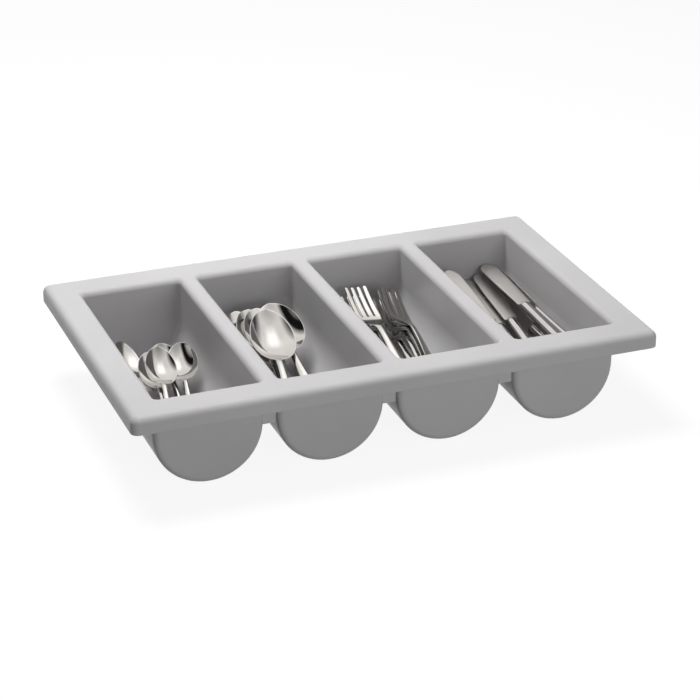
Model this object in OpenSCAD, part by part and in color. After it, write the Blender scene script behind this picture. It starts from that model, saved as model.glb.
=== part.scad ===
// Gastronorm cutlery box: one moulded tray with four round-bottomed compartments,
// holding loose teaspoons, tablespoons, forks and knives. Millimetres, +Z up,
// +X along the long side and +Y to the back. The tray stands on z = 0.

/* [Tray] */
// Length over the rim
tray_l = 530; // [480:1:600]
// Width over the rim
tray_w = 325; // [300:1:400]
// Height from the trough bottoms to the top of the rim
tray_h = 97; // [85:1:150]
// Wall thickness of the moulding
wall = 2.5; // [1.5:0.1:4]

/* [Rim] */
// Height of the downturned lip
lip_h = 17; // [10:0.5:25]
// Radius of the outer corners and of the outer top edge
edge_r = 7.5; // [5:0.5:12]
// Radius of the lower outer edge of the lip
lip_edge_r = 0.8; // [0.2:0.1:1.2]

/* [Compartments] */
// Distance between compartment centres
bay_pitch = 121; // [115:0.5:126]
// Inside width of a compartment
bay_w = 102; // [96:0.5:106]
// Inside length of a compartment
bay_l = 251; // [230:1:270]
// Radius of the inside corners
bay_corner_r = 3.5; // [3:0.5:12]
// Radius of the roll-over from the rim into a compartment
roll_r = 6.5; // [2:0.5:8]

/* [Webs] */
// How far the end webs reach below the lip
web_drop = 31.5; // [20:0.5:40]
// Setback of the end webs from the ends of the troughs
web_in = 6.5; // [4:0.5:20]

/* [Cutlery] */
// Clearance of a piece from the tray and from the pieces that it rests on
rest_gap = 0.4; // [0.2:0.05:1]

/* [Teaspoon] */
// Length
teaspoon_l = 142; // [125:1:160]
// Bowl length
teaspoon_bowl_l = 53; // [45:0.5:62]
// Bowl width
teaspoon_bowl_w = 32; // [26:0.5:38]
// Bowl depth
teaspoon_bowl_d = 7.5; // [5:0.1:9]
// Width at the neck
teaspoon_neck_w = 5.5; // [4:0.1:7]
// Width at the handle end
teaspoon_end_w = 14; // [10:0.5:18]
// Thickness of the metal
teaspoon_t = 1.8; // [1.4:0.1:2.4]
// Rise of the neck above the handle end
teaspoon_neck_rise = 8; // [5:0.1:11]
// Rise of the tip above the handle end
teaspoon_tip_rise = 12.5; // [9:0.1:16]

/* [Tablespoon] */
// Length
tablespoon_l = 204; // [180:1:220]
// Bowl length
tablespoon_bowl_l = 74; // [62:0.5:84]
// Bowl width
tablespoon_bowl_w = 46; // [38:0.5:52]
// Bowl depth
tablespoon_bowl_d = 9.5; // [7:0.1:12]
// Width at the neck
tablespoon_neck_w = 7; // [5:0.1:9]
// Width at the handle end
tablespoon_end_w = 19; // [14:0.5:24]
// Thickness of the metal
tablespoon_t = 2; // [1.6:0.1:2.6]
// Rise of the neck above the handle end
tablespoon_neck_rise = 11; // [8:0.1:15]
// Rise of the tip above the handle end
tablespoon_tip_rise = 20; // [15:0.1:25]

/* [Fork] */
// Length
fork_l = 200; // [180:1:220]
// Length of the head, palm and tines
fork_head_l = 73; // [66:0.5:82]
// Length of the tines
fork_tine_l = 44; // [38:0.5:52]
// Width across the tines
fork_head_w = 25; // [21:0.5:29]
// Width of a tine at its root
fork_tine_w = 4.8; // [3:0.1:5.5]
// Width at the neck
fork_neck_w = 7; // [5:0.1:9]
// Width at the handle end
fork_end_w = 19; // [14:0.5:24]
// Thickness of the metal
fork_t = 2.2; // [1.8:0.1:2.8]
// Dish across the palm
fork_dish = 1.2; // [0.5:0.1:2]
// Length of the dip from the neck to the palm
fork_dip_l = 23; // [18:0.5:30]
// Rise of the neck above the handle end
fork_neck_rise = 10.5; // [7:0.1:15]
// Rise of the palm above the handle end
fork_palm_rise = 4; // [1:0.1:7]
// Rise of the tine tips above the handle end
fork_tip_rise = 14; // [10:0.1:20]

/* [Knife] */
// Length
knife_l = 206; // [185:1:220]
// Blade length
knife_blade_l = 100; // [85:0.5:108]
// Blade width
knife_blade_w = 19; // [16:0.5:23]
// Blade thickness
knife_blade_t = 1.8; // [1.2:0.1:2.5]
// Handle width at its end
knife_handle_w = 12.5; // [10:0.5:15]
// Handle width at the bolster
knife_neck_w = 10.5; // [8:0.5:12]
// Handle thickness
knife_handle_t = 8; // [6:0.1:9]

/* [Teaspoon places] */
// Side from the middle and gap from the tip to the far end, teaspoon 1
teaspoon_1_at = [4, 40]; // [-60:0.5:90]
// Pitch, roll and yaw, teaspoon 1
teaspoon_1_tilt = [5, 0, 2]; // [-80:0.5:80]
// Side from the middle and gap from the tip to the far end, teaspoon 2
teaspoon_2_at = [12, 41]; // [-60:0.5:90]
// Pitch, roll and yaw, teaspoon 2
teaspoon_2_tilt = [12.5, 0, -3.5]; // [-80:0.5:80]
// Side from the middle and gap from the tip to the far end, teaspoon 3
teaspoon_3_at = [-28, 33]; // [-60:0.5:90]
// Pitch, roll and yaw, teaspoon 3
teaspoon_3_tilt = [12.5, 29.5, 0]; // [-80:0.5:80]
// Side from the middle and gap from the tip to the far end, teaspoon 4
teaspoon_4_at = [22.5, 56]; // [-60:0.5:90]
// Pitch, roll and yaw, teaspoon 4
teaspoon_4_tilt = [13.5, -12, -12]; // [-80:0.5:80]
// Side from the middle and gap from the tip to the far end, teaspoon 5
teaspoon_5_at = [-7.5, 60.5]; // [-60:0.5:90]
// Pitch, roll and yaw, teaspoon 5
teaspoon_5_tilt = [10.5, 4, -5]; // [-80:0.5:80]
// Side from the middle and gap from the tip to the far end, teaspoon 6
teaspoon_6_at = [-5, 67]; // [-60:0.5:90]
// Pitch, roll and yaw, teaspoon 6
teaspoon_6_tilt = [13.5, 10, -9]; // [-80:0.5:80]

/* [Tablespoon places] */
// Side from the middle and gap from the tip to the far end, tablespoon 1
tablespoon_1_at = [-2, 14]; // [-60:0.5:90]
// Pitch, roll and yaw, tablespoon 1
tablespoon_1_tilt = [2, 0, 1]; // [-80:0.5:80]
// Side from the middle and gap from the tip to the far end, tablespoon 2
tablespoon_2_at = [-15.5, 4]; // [-60:0.5:90]
// Pitch, roll and yaw, tablespoon 2
tablespoon_2_tilt = [7.5, 8, 0]; // [-80:0.5:80]
// Side from the middle and gap from the tip to the far end, tablespoon 3
tablespoon_3_at = [-6.5, 13.5]; // [-60:0.5:90]
// Pitch, roll and yaw, tablespoon 3
tablespoon_3_tilt = [7.5, 8, -1]; // [-80:0.5:80]
// Side from the middle and gap from the tip to the far end, tablespoon 4
tablespoon_4_at = [-2, 21]; // [-60:0.5:90]
// Pitch, roll and yaw, tablespoon 4
tablespoon_4_tilt = [7, 7, -3]; // [-80:0.5:80]
// Side from the middle and gap from the tip to the far end, tablespoon 5
tablespoon_5_at = [15, 27.5]; // [-60:0.5:90]
// Pitch, roll and yaw, tablespoon 5
tablespoon_5_tilt = [9, -8.5, -2]; // [-80:0.5:80]
// Side from the middle and gap from the tip to the far end, tablespoon 6
tablespoon_6_at = [-7.5, 47.5]; // [-60:0.5:90]
// Pitch, roll and yaw, tablespoon 6
tablespoon_6_tilt = [11, 6, -7.5]; // [-80:0.5:80]

/* [Fork places] */
// Side from the middle and gap from the tip to the far end, fork 1
fork_1_at = [-14, 6]; // [-60:0.5:90]
// Pitch, roll and yaw, fork 1
fork_1_tilt = [2, 10, 0]; // [-80:0.5:80]
// Side from the middle and gap from the tip to the far end, fork 2
fork_2_at = [20, 6]; // [-60:0.5:90]
// Pitch, roll and yaw, fork 2
fork_2_tilt = [3, -6, -2]; // [-80:0.5:80]
// Side from the middle and gap from the tip to the far end, fork 3
fork_3_at = [-12, 8]; // [-60:0.5:90]
// Pitch, roll and yaw, fork 3
fork_3_tilt = [6.5, 8, 0]; // [-80:0.5:80]
// Side from the middle and gap from the tip to the far end, fork 4
fork_4_at = [24, 8]; // [-60:0.5:90]
// Pitch, roll and yaw, fork 4
fork_4_tilt = [6, 4, -2]; // [-80:0.5:80]
// Side from the middle and gap from the tip to the far end, fork 5
fork_5_at = [-10, 9]; // [-60:0.5:90]
// Pitch, roll and yaw, fork 5
fork_5_tilt = [8.5, 6, 0.5]; // [-80:0.5:80]
// Side from the middle and gap from the tip to the far end, fork 6
fork_6_at = [25, 13]; // [-60:0.5:90]
// Pitch, roll and yaw, fork 6
fork_6_tilt = [8, 14, -1.5]; // [-80:0.5:80]
// Side from the middle and gap from the tip to the far end, fork 7
fork_7_at = [-5.5, 9]; // [-60:0.5:90]
// Pitch, roll and yaw, fork 7
fork_7_tilt = [10.5, 5, 0.5]; // [-80:0.5:80]
// Side from the middle and gap from the tip to the far end, fork 8
fork_8_at = [23, 20.5]; // [-60:0.5:90]
// Pitch, roll and yaw, fork 8
fork_8_tilt = [9.5, 26, 0]; // [-80:0.5:80]

/* [Knife places] */
// Side from the middle and gap from the tip to the far end, knife 1
knife_1_at = [-3.5, 10.5]; // [-60:0.5:90]
// Pitch, roll and yaw, knife 1
knife_1_tilt = [0, 72, 0]; // [-80:0.5:80]
// Side from the middle and gap from the tip to the far end, knife 2
knife_2_at = [6, 8.5]; // [-60:0.5:90]
// Pitch, roll and yaw, knife 2
knife_2_tilt = [0, -72, 0]; // [-80:0.5:80]
// Side from the middle and gap from the tip to the far end, knife 3
knife_3_at = [-18.5, 8.5]; // [-60:0.5:90]
// Pitch, roll and yaw, knife 3
knife_3_tilt = [1, 20, 2]; // [-80:0.5:80]
// Side from the middle and gap from the tip to the far end, knife 4
knife_4_at = [21.5, 6.5]; // [-60:0.5:90]
// Pitch, roll and yaw, knife 4
knife_4_tilt = [1, -40, -1]; // [-80:0.5:80]
// Side from the middle and gap from the tip to the far end, knife 5
knife_5_at = [2.5, 0]; // [-60:0.5:90]
// Pitch, roll and yaw, knife 5
knife_5_tilt = [7, 4, -1.5]; // [-80:0.5:80]
// Side from the middle and gap from the tip to the far end, knife 6
knife_6_at = [-14.5, 14]; // [-60:0.5:90]
// Pitch, roll and yaw, knife 6
knife_6_tilt = [12, 4.5, 4.5]; // [-80:0.5:80]
// Side from the middle and gap from the tip to the far end, knife 7
knife_7_at = [16, 0]; // [-60:0.5:90]
// Pitch, roll and yaw, knife 7
knife_7_tilt = [7.5, -1.5, -2.5]; // [-80:0.5:80]
// Side from the middle and gap from the tip to the far end, knife 8
knife_8_at = [36, 6]; // [-60:0.5:90]
// Pitch, roll and yaw, knife 8
knife_8_tilt = [1, -64, 1]; // [-80:0.5:80]
// Side from the middle and gap from the tip to the far end, knife 9
knife_9_at = [42, 2.5]; // [-60:0.5:90]
// Pitch, roll and yaw, knife 9
knife_9_tilt = [1.5, -76, 1.5]; // [-80:0.5:80]
// Side from the middle and gap from the tip to the far end, knife 10
knife_10_at = [31, 0]; // [-60:0.5:90]
// Pitch, roll and yaw, knife 10
knife_10_tilt = [4, -1.5, 2]; // [-80:0.5:80]

/* [Hidden] */
$fn = 64;
bays = 4;
// Faces that blend into each other cross by this much instead of only touching.
cross = 0.05;
// Spacing of the cuts that pieces are set down by.
slice = 4;
// Handles are thicker than bowls and palms, and all edges thinner than the middle.
handle_thick = 1.15;
edge_thin = 0.35;
trough_r = bay_w / 2 + wall;
web_z = tray_h - lip_h - web_drop;
stations = [for (y = [-bay_l / 2 + slice / 2:slice:bay_l / 2]) y];
plastic = [0.72, 0.72, 0.73];
steel = [0.8, 0.8, 0.82];
teaspoon_places = [
    [teaspoon_1_at, teaspoon_1_tilt],
    [teaspoon_2_at, teaspoon_2_tilt],
    [teaspoon_3_at, teaspoon_3_tilt],
    [teaspoon_4_at, teaspoon_4_tilt],
    [teaspoon_5_at, teaspoon_5_tilt],
    [teaspoon_6_at, teaspoon_6_tilt]];
tablespoon_places = [
    [tablespoon_1_at, tablespoon_1_tilt],
    [tablespoon_2_at, tablespoon_2_tilt],
    [tablespoon_3_at, tablespoon_3_tilt],
    [tablespoon_4_at, tablespoon_4_tilt],
    [tablespoon_5_at, tablespoon_5_tilt],
    [tablespoon_6_at, tablespoon_6_tilt]];
fork_places = [
    [fork_1_at, fork_1_tilt],
    [fork_2_at, fork_2_tilt],
    [fork_3_at, fork_3_tilt],
    [fork_4_at, fork_4_tilt],
    [fork_5_at, fork_5_tilt],
    [fork_6_at, fork_6_tilt],
    [fork_7_at, fork_7_tilt],
    [fork_8_at, fork_8_tilt]];
knife_places = [
    [knife_1_at, knife_1_tilt],
    [knife_2_at, knife_2_tilt],
    [knife_3_at, knife_3_tilt],
    [knife_4_at, knife_4_tilt],
    [knife_5_at, knife_5_tilt],
    [knife_6_at, knife_6_tilt],
    [knife_7_at, knife_7_tilt],
    [knife_8_at, knife_8_tilt],
    [knife_9_at, knife_9_tilt],
    [knife_10_at, knife_10_tilt]];

function bay_x(i) = (i - (bays + 1) / 2) * bay_pitch;

function clamp(x, low, high) = min(max(x, low), high);

function smooth(a, b, x) =
    let (t = clamp((x - a) / (b - a), 0, 1))
    t * t * (3 - 2 * t);

// Share of the full width at a distance from a rounded end.
function round_end(d, r) =
    let (e = clamp(1 - d / r, 0, 1))
    max(sqrt(1 - e * e), 0.12);

// One ring of a dished strip: the top face left to right, then the underside back.
function section(y, w, z, t, dish, k, thin) =
    let (f = function (u, s) [w * u, y, z - dish * (1 - u * u) + s * t / 2 * (1 - thin * u * u)])
    [for (i = [0:k]) f(2 * i / k - 1, 1), for (i = [k:-1:0]) f(2 * i / k - 1, -1)];

// One ring of a rounded bar.
function oval(y, w, h, z, k) =
    let (f = function (i, s) [-w * cos(180 * i / k), y, z + s * h * max(sin(180 * i / k), 0.25)])
    [for (i = [0:k]) f(i, 1), for (i = [k:-1:0]) f(i, -1)];

// Stations along a handle, from its end to the neck at y = 0.
function handle_stations(l, end_w) =
    [for (t = [0, 0.06, 0.22, 0.5]) t * end_w - l,
     for (t = [0.22, 0.44, 0.66, 0.84, 1]) (end_w / 2 - l) * (1 - t)];

function handle_rings(l, neck_w, end_w, t, neck_rise, k) =
    [for (y = handle_stations(l, end_w))
        let (half = (neck_w + (end_w - neck_w) * smooth(0.05, 0.95, -y / l)) / 2)
        let (z = neck_rise * (1 - smooth(0, 1, pow(-y / l, 0.8))))
        section(y, half * round_end(l + y, end_w / 2), z, handle_thick * t, 0, k, edge_thin)];

// A piece of cutlery is a list of skins, each a row of rings, with its neck at y = 0
// and its head along +Y.
function spoon(l, bowl_l, bowl_w, bowl_d, neck_w, end_w, t, neck_rise, tip_rise) =
    let (k = 6, steps = 7)
    let (bowl = [for (i = [1:steps])
        let (y = i < steps ? bowl_l * (1 - cos(180 * i / steps)) / 2 : 0.99 * bowl_l)
        let (u = 2 * y / bowl_l - 1)
        let (bowl_half = bowl_w / 2 * sqrt(1 - u * u) * (1 - 0.13 * u))
        let (neck_half = neck_w / 2 * (1 - smooth(0, 0.3 * bowl_l, y)))
        let (w = max(pow(pow(bowl_half, 3) + pow(neck_half, 3), 1 / 3), 1.2))
        let (z = neck_rise + (tip_rise - neck_rise) * smooth(0, bowl_l, y))
        section(y, w, z, t, bowl_d * (1 - u * u), k, edge_thin)])
    [concat(handle_rings(l - bowl_l, neck_w, end_w, t, neck_rise, k), bowl)];

function teaspoon() =
    spoon(teaspoon_l, teaspoon_bowl_l, teaspoon_bowl_w, teaspoon_bowl_d, teaspoon_neck_w,
        teaspoon_end_w, teaspoon_t, teaspoon_neck_rise, teaspoon_tip_rise);

function tablespoon() =
    spoon(tablespoon_l, tablespoon_bowl_l, tablespoon_bowl_w, tablespoon_bowl_d, tablespoon_neck_w,
        tablespoon_end_w, tablespoon_t, tablespoon_neck_rise, tablespoon_tip_rise);

// Height of the middle of a fork's head.
function fork_z(y) =
    y < fork_dip_l
        ? fork_neck_rise + (fork_palm_rise - fork_neck_rise) * smooth(0, fork_dip_l, y)
        : fork_palm_rise + (fork_tip_rise - fork_palm_rise)
            * pow((y - fork_dip_l) / (fork_head_l - fork_dip_l), 1.7);

function fork_tine(x) =
    [for (s = [-0.03, 0.25, 0.5, 0.75, 1])
        let (y = fork_head_l + (s - 1) * fork_tine_l)
        let (w = fork_tine_w / 2 * (1 - 0.4 * max(s, 0)))
        let (h = fork_t / 2 * (0.85 - 0.3 * max(s, 0)))
        let (z = fork_z(y) - fork_dish * (1 - pow(2 * x / fork_head_w, 2)))
        [[x - w, y, z + h], [x + w, y, z + h], [x + w, y, z - h], [x - w, y, z - h]]];

function fork() =
    let (k = 4, palm_l = fork_head_l - fork_tine_l)
    let (palm = [for (s = [0.25, 0.5, 0.75, 1])
        let (y = s * palm_l)
        let (w = (fork_neck_w + (fork_head_w - fork_neck_w) * smooth(0, 0.8 * palm_l, y)) / 2)
        section(y, w, fork_z(y), fork_t, fork_dish * smooth(0, palm_l, y), k, edge_thin)])
    let (handle = handle_rings(fork_l - fork_head_l, fork_neck_w, fork_end_w, fork_t, fork_neck_rise, k))
    [concat(handle, palm), for (i = [0:3]) fork_tine((fork_head_w - fork_tine_w) * (i / 3 - 0.5))];

function knife() =
    let (k = 4, handle_l = knife_l - knife_blade_l)
    let (handle = [for (s = [1, 0.98, 0.94, 0.86, 0.6, 0.3, 0])
        let (e = round_end((1 - s) * handle_l, knife_handle_w / 2))
        let (w = (knife_neck_w + (knife_handle_w - knife_neck_w) * smooth(0.1, 0.85, s)) / 2)
        let (h = (0.8 + 0.2 * smooth(0.1, 0.9, s)) * knife_handle_t / 2)
        oval(-s * handle_l, w * e, h * (0.5 + 0.5 * e), 0, k)])
    let (blade = [for (s = [0.05, 0.3, 0.6, 0.8, 0.9, 0.96, 0.995])
        let (half = knife_blade_w / 2 * (0.82 + 0.18 * smooth(0.05, 0.7, s)))
        let (w = half * round_end((1 - s) * knife_blade_l, 0.75 * knife_blade_w))
        section(s * knife_blade_l, w, 0, knife_blade_t, 0, k, 0.5)])
    let (bolster = oval(0.03 * knife_blade_l, knife_neck_w / 2, 0.4 * knife_handle_t, 0, k))
    [concat(handle, [bolster], blade)];

// Roll about Y, then pitch about X, then yaw about Z.
function turn(tilt) =
    let (p = tilt[0], r = tilt[1], w = tilt[2])
    [[cos(w), -sin(w), 0], [sin(w), cos(w), 0], [0, 0, 1]]
    * [[1, 0, 0], [0, cos(p), -sin(p)], [0, sin(p), cos(p)]]
    * [[cos(r), 0, sin(r)], [0, 1, 0], [-sin(r), 0, cos(r)]];

function turned(skins, m) = [for (rings = skins) [for (ring = rings) [for (p = ring) m * p]]];

function moved(skins, d) = [for (rings = skins) [for (ring = rings) [for (p = ring) p + d]]];

// Move that brings a span between two walls.
function clear_of(values, half) = max(0, -half - min(values)) - max(0, max(values) - half);

function walls_push(skins) =
    let (points = [for (rings = skins, ring = rings) each ring])
    [clear_of([for (p = points) p.x], bay_w / 2 - rest_gap),
     clear_of([for (p = points) p.y], bay_l / 2 - rest_gap), 0];

// Outline of a skin where it is cut across at y, as [x, z] points.
function cut(rings, y) =
    [for (j = [0:len(rings[0]) - 1])
        [lookup(y, [for (ring = rings) [ring[j].y, ring[j].x]]),
         lookup(y, [for (ring = rings) [ring[j].y, ring[j].z]])]];

function cuts(skins) =
    let (ends = [for (rings = skins) let (ys = [for (ring = rings, p = ring) p.y]) [min(ys), max(ys)]])
    [for (y = stations)
        [for (i = [0:len(skins) - 1]) if (y > ends[i][0] && y < ends[i][1]) cut(skins[i], y)]];

// Heights at which an outline crosses x.
function heights(outline, x) =
    let (n = len(outline))
    [for (i = [0:n - 1])
        let (a = outline[i], b = outline[(i + 1) % n])
        if ((a.x < x) != (b.x < x)) a.y + (b.y - a.y) * (x - a.x) / (b.x - a.x)];

// Rises that bring one outline above another, with the clearance to each side as well.
function rises(upper, lower) =
    [for (p = lower, s = [-1, 1])
        let (h = heights(upper, p.x + s * rest_gap))
        if (len(h) > 0) p.y - min(h),
     for (p = upper, s = [-1, 1])
        let (h = heights(lower, p.x + s * rest_gap))
        if (len(h) > 0) max(h) - p.y];

// Floor of a compartment, with its rounded ends.
function floor_z(x, y) =
    let (past = max(0, abs(y) - bay_l / 2 + bay_corner_r))
    let (r = bay_w / 2 - bay_corner_r + sqrt(bay_corner_r * bay_corner_r - past * past))
    trough_r - sqrt(max(0, r * r - x * x));

// Sets the first n pieces of a pile down one after the other. Gives the last one's
// skins and the cuts of them all.
function pile(skins, head_l, places, n) =
    let (under = n > 1 ? pile(skins, head_l, places, n - 1)[1] : [for (y = stations) []])
    let (at = places[n - 1][0], tilt = places[n - 1][1])
    let (loose = moved(turned(skins, turn(tilt)), [at[0], bay_l / 2 - at[1] - head_l, 0]))
    let (free = moved(loose, walls_push(loose)))
    let (slices = cuts(free), last = len(stations) - 1)
    let (on_floor = [for (i = [0:last], outline = slices[i], p = outline) floor_z(p.x, stations[i]) - p.y])
    let (on_pile = [for (i = [0:last], u = slices[i], l = under[i]) each rises(u, l)])
    let (rise = max(concat(on_floor, on_pile)) + rest_gap)
    [moved(free, [0, 0, rise]),
     [for (i = [0:last])
        concat(under[i], [for (outline = slices[i]) [for (p = outline) p + [0, rise]]])]];

// Skin over rings of equal length, closed at both ends.
module loft(rings) {
    n = len(rings[0]);
    m = len(rings);
    last = (m - 1) * n;
    points = [for (ring = rings) each ring];
    sides = [for (i = [0:m - 2], j = [0:n - 1])
        let (a = i * n + j, b = i * n + (j + 1) % n)
        each [[a, b + n, b], [a, a + n, b + n]]];
    near = [for (j = [0:n / 2 - 2]) each [[j, j + 1, n - 2 - j], [j, n - 2 - j, n - 1 - j]]];
    far = [for (f = near) [last + f[0], last + f[2], last + f[1]]];
    polyhedron(points, concat(sides, near, far));
}

// Rim section on one side of its middle, x outwards and y up.
module rim_half(half, low, high, top_r, low_r) {
    difference() {
        translate([0, low])
            square([half, high - low]);
        translate([half - top_r, high - top_r])
            square(top_r + 1);
        if (low_r > 0)
            translate([half - low_r, low - 1])
                square([low_r + 1, low_r + 1]);
    }
    translate([half - top_r, high - top_r])
        intersection() {
            circle(top_r);
            square(top_r);
        }
    if (low_r > 0)
        translate([half - low_r, low + low_r])
            intersection() {
                circle(low_r);
                translate([0, -low_r])
                    square(low_r);
            }
}

module rim_section(half, low, high, top_r, low_r) {
    rim_half(half, low, high, top_r, low_r);
    mirror([1, 0])
        rim_half(half, low, high, top_r, low_r);
}

// Rounded block of the rim, pulled in by inset on every side.
module rim_block(inset, low, high, r, low_r) {
    l = tray_l - 2 * inset;
    w = tray_w - 2 * inset;
    translate([0, w / 2 - r, 0])
        rotate([90, 0, 0])
            linear_extrude(w - 2 * r)
                rim_section(l / 2, low, high, r, low_r);
    translate([r - l / 2, 0, 0])
        rotate([90, 0, 90])
            linear_extrude(l - 2 * r)
                rim_section(w / 2, low, high, r, low_r);
    for (x = [-1, 1], y = [-1, 1])
        translate([x * (l / 2 - r), y * (w / 2 - r), 0])
            rotate_extrude()
                rim_half(r, low, high, r, low_r);
}

// Hollow rim with its downturned lip.
module rim() {
    difference() {
        rim_block(0, tray_h - lip_h, tray_h, edge_r, lip_edge_r);
        rim_block(wall, tray_h - lip_h - 1, tray_h - wall, edge_r - wall, 0);
    }
}

module rounded_plan(l, w, r) {
    square([w - 2 * r, l], center = true);
    square([w, l - 2 * r], center = true);
    for (x = [-1, 1], y = [-1, 1])
        translate([x * (w / 2 - r), y * (l / 2 - r)])
            circle(r);
}

// Round-bottomed form of a compartment: grow is 0 for the hollow and wall for its outside.
module trough_form(grow, top) {
    r = bay_w / 2 + grow;
    l = bay_l + 2 * grow;
    c = bay_corner_r + grow;
    translate([0, 0, trough_r]) {
        rotate([-90, 0, 0])
            rotate_extrude(angle = 180)
                intersection() {
                    rounded_plan(l, 2 * r, c);
                    translate([0, -l / 2])
                        square([r, l]);
                }
        linear_extrude(top - trough_r)
            rounded_plan(l, 2 * r, c);
    }
}

// Section of the roll-over outside a wall that stands at w.
module mouth_half(w) {
    difference() {
        translate([0, tray_h - roll_r])
            square([w + roll_r - cross, roll_r + 1]);
        translate([w + roll_r - cross, tray_h - roll_r + cross])
            circle(roll_r);
    }
}

module mouth_section(w) {
    mouth_half(w);
    mirror([1, 0])
        mouth_half(w);
}

// Rounded mouth of a compartment.
module mouth() {
    c = bay_corner_r;
    translate([0, bay_l / 2 - c, 0])
        rotate([90, 0, 0])
            linear_extrude(bay_l - 2 * c)
                mouth_section(bay_w / 2);
    translate([c - bay_w / 2, 0, 0])
        rotate([90, 0, 90])
            linear_extrude(bay_w - 2 * c)
                mouth_section(bay_l / 2);
    for (x = [-1, 1], y = [-1, 1])
        translate([x * (bay_w / 2 - c), y * (bay_l / 2 - c), 0])
            rotate_extrude()
                mouth_half(c);
}

// Plates that close the channel between two troughs at the front and back.
module webs(i) {
    gap = bay_pitch - 2 * trough_r;
    web_top = tray_h - wall / 2;
    for (s = [-1, 1])
        translate([bay_x(i) + bay_pitch / 2, s * (bay_l / 2 + wall / 2 - web_in), (web_z + web_top) / 2])
            cube([gap + wall, wall, web_top - web_z], center = true);
}

module tray() {
    color(plastic)
        difference() {
            union() {
                rim();
                for (i = [1:bays])
                    translate([bay_x(i), 0, 0])
                        trough_form(wall, tray_h - wall / 2);
                for (i = [1:bays - 1])
                    webs(i);
            }
            for (i = [1:bays])
                translate([bay_x(i), 0, 0]) {
                    trough_form(0, tray_h + 1);
                    mouth();
                }
        }
}

// One piece of the pile in a compartment.
module piece(bay, skins) {
    color(steel)
        translate([bay_x(bay), 0, 0])
            for (rings = skins)
                loft(rings);
}

module teaspoon_1() {
    piece(1, pile(teaspoon(), teaspoon_bowl_l, teaspoon_places, 1)[0]);
}

module teaspoon_2() {
    piece(1, pile(teaspoon(), teaspoon_bowl_l, teaspoon_places, 2)[0]);
}

module teaspoon_3() {
    piece(1, pile(teaspoon(), teaspoon_bowl_l, teaspoon_places, 3)[0]);
}

module teaspoon_4() {
    piece(1, pile(teaspoon(), teaspoon_bowl_l, teaspoon_places, 4)[0]);
}

module teaspoon_5() {
    piece(1, pile(teaspoon(), teaspoon_bowl_l, teaspoon_places, 5)[0]);
}

module teaspoon_6() {
    piece(1, pile(teaspoon(), teaspoon_bowl_l, teaspoon_places, 6)[0]);
}

module tablespoon_1() {
    piece(2, pile(tablespoon(), tablespoon_bowl_l, tablespoon_places, 1)[0]);
}

module tablespoon_2() {
    piece(2, pile(tablespoon(), tablespoon_bowl_l, tablespoon_places, 2)[0]);
}

module tablespoon_3() {
    piece(2, pile(tablespoon(), tablespoon_bowl_l, tablespoon_places, 3)[0]);
}

module tablespoon_4() {
    piece(2, pile(tablespoon(), tablespoon_bowl_l, tablespoon_places, 4)[0]);
}

module tablespoon_5() {
    piece(2, pile(tablespoon(), tablespoon_bowl_l, tablespoon_places, 5)[0]);
}

module tablespoon_6() {
    piece(2, pile(tablespoon(), tablespoon_bowl_l, tablespoon_places, 6)[0]);
}

module fork_1() {
    piece(3, pile(fork(), fork_head_l, fork_places, 1)[0]);
}

module fork_2() {
    piece(3, pile(fork(), fork_head_l, fork_places, 2)[0]);
}

module fork_3() {
    piece(3, pile(fork(), fork_head_l, fork_places, 3)[0]);
}

module fork_4() {
    piece(3, pile(fork(), fork_head_l, fork_places, 4)[0]);
}

module fork_5() {
    piece(3, pile(fork(), fork_head_l, fork_places, 5)[0]);
}

module fork_6() {
    piece(3, pile(fork(), fork_head_l, fork_places, 6)[0]);
}

module fork_7() {
    piece(3, pile(fork(), fork_head_l, fork_places, 7)[0]);
}

module fork_8() {
    piece(3, pile(fork(), fork_head_l, fork_places, 8)[0]);
}

module knife_1() {
    piece(4, pile(knife(), knife_blade_l, knife_places, 1)[0]);
}

module knife_2() {
    piece(4, pile(knife(), knife_blade_l, knife_places, 2)[0]);
}

module knife_3() {
    piece(4, pile(knife(), knife_blade_l, knife_places, 3)[0]);
}

module knife_4() {
    piece(4, pile(knife(), knife_blade_l, knife_places, 4)[0]);
}

module knife_5() {
    piece(4, pile(knife(), knife_blade_l, knife_places, 5)[0]);
}

module knife_6() {
    piece(4, pile(knife(), knife_blade_l, knife_places, 6)[0]);
}

module knife_7() {
    piece(4, pile(knife(), knife_blade_l, knife_places, 7)[0]);
}

module knife_8() {
    piece(4, pile(knife(), knife_blade_l, knife_places, 8)[0]);
}

module knife_9() {
    piece(4, pile(knife(), knife_blade_l, knife_places, 9)[0]);
}

module knife_10() {
    piece(4, pile(knife(), knife_blade_l, knife_places, 10)[0]);
}

tray();
teaspoon_1();
teaspoon_2();
teaspoon_3();
teaspoon_4();
teaspoon_5();
teaspoon_6();
tablespoon_1();
tablespoon_2();
tablespoon_3();
tablespoon_4();
tablespoon_5();
tablespoon_6();
fork_1();
fork_2();
fork_3();
fork_4();
fork_5();
fork_6();
fork_7();
fork_8();
knife_1();
knife_2();
knife_3();
knife_4();
knife_5();
knife_6();
knife_7();
knife_8();
knife_9();
knife_10();
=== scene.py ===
import itertools
import math

import bmesh
import bpy
import numpy as np
from mathutils import Matrix, Vector


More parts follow.
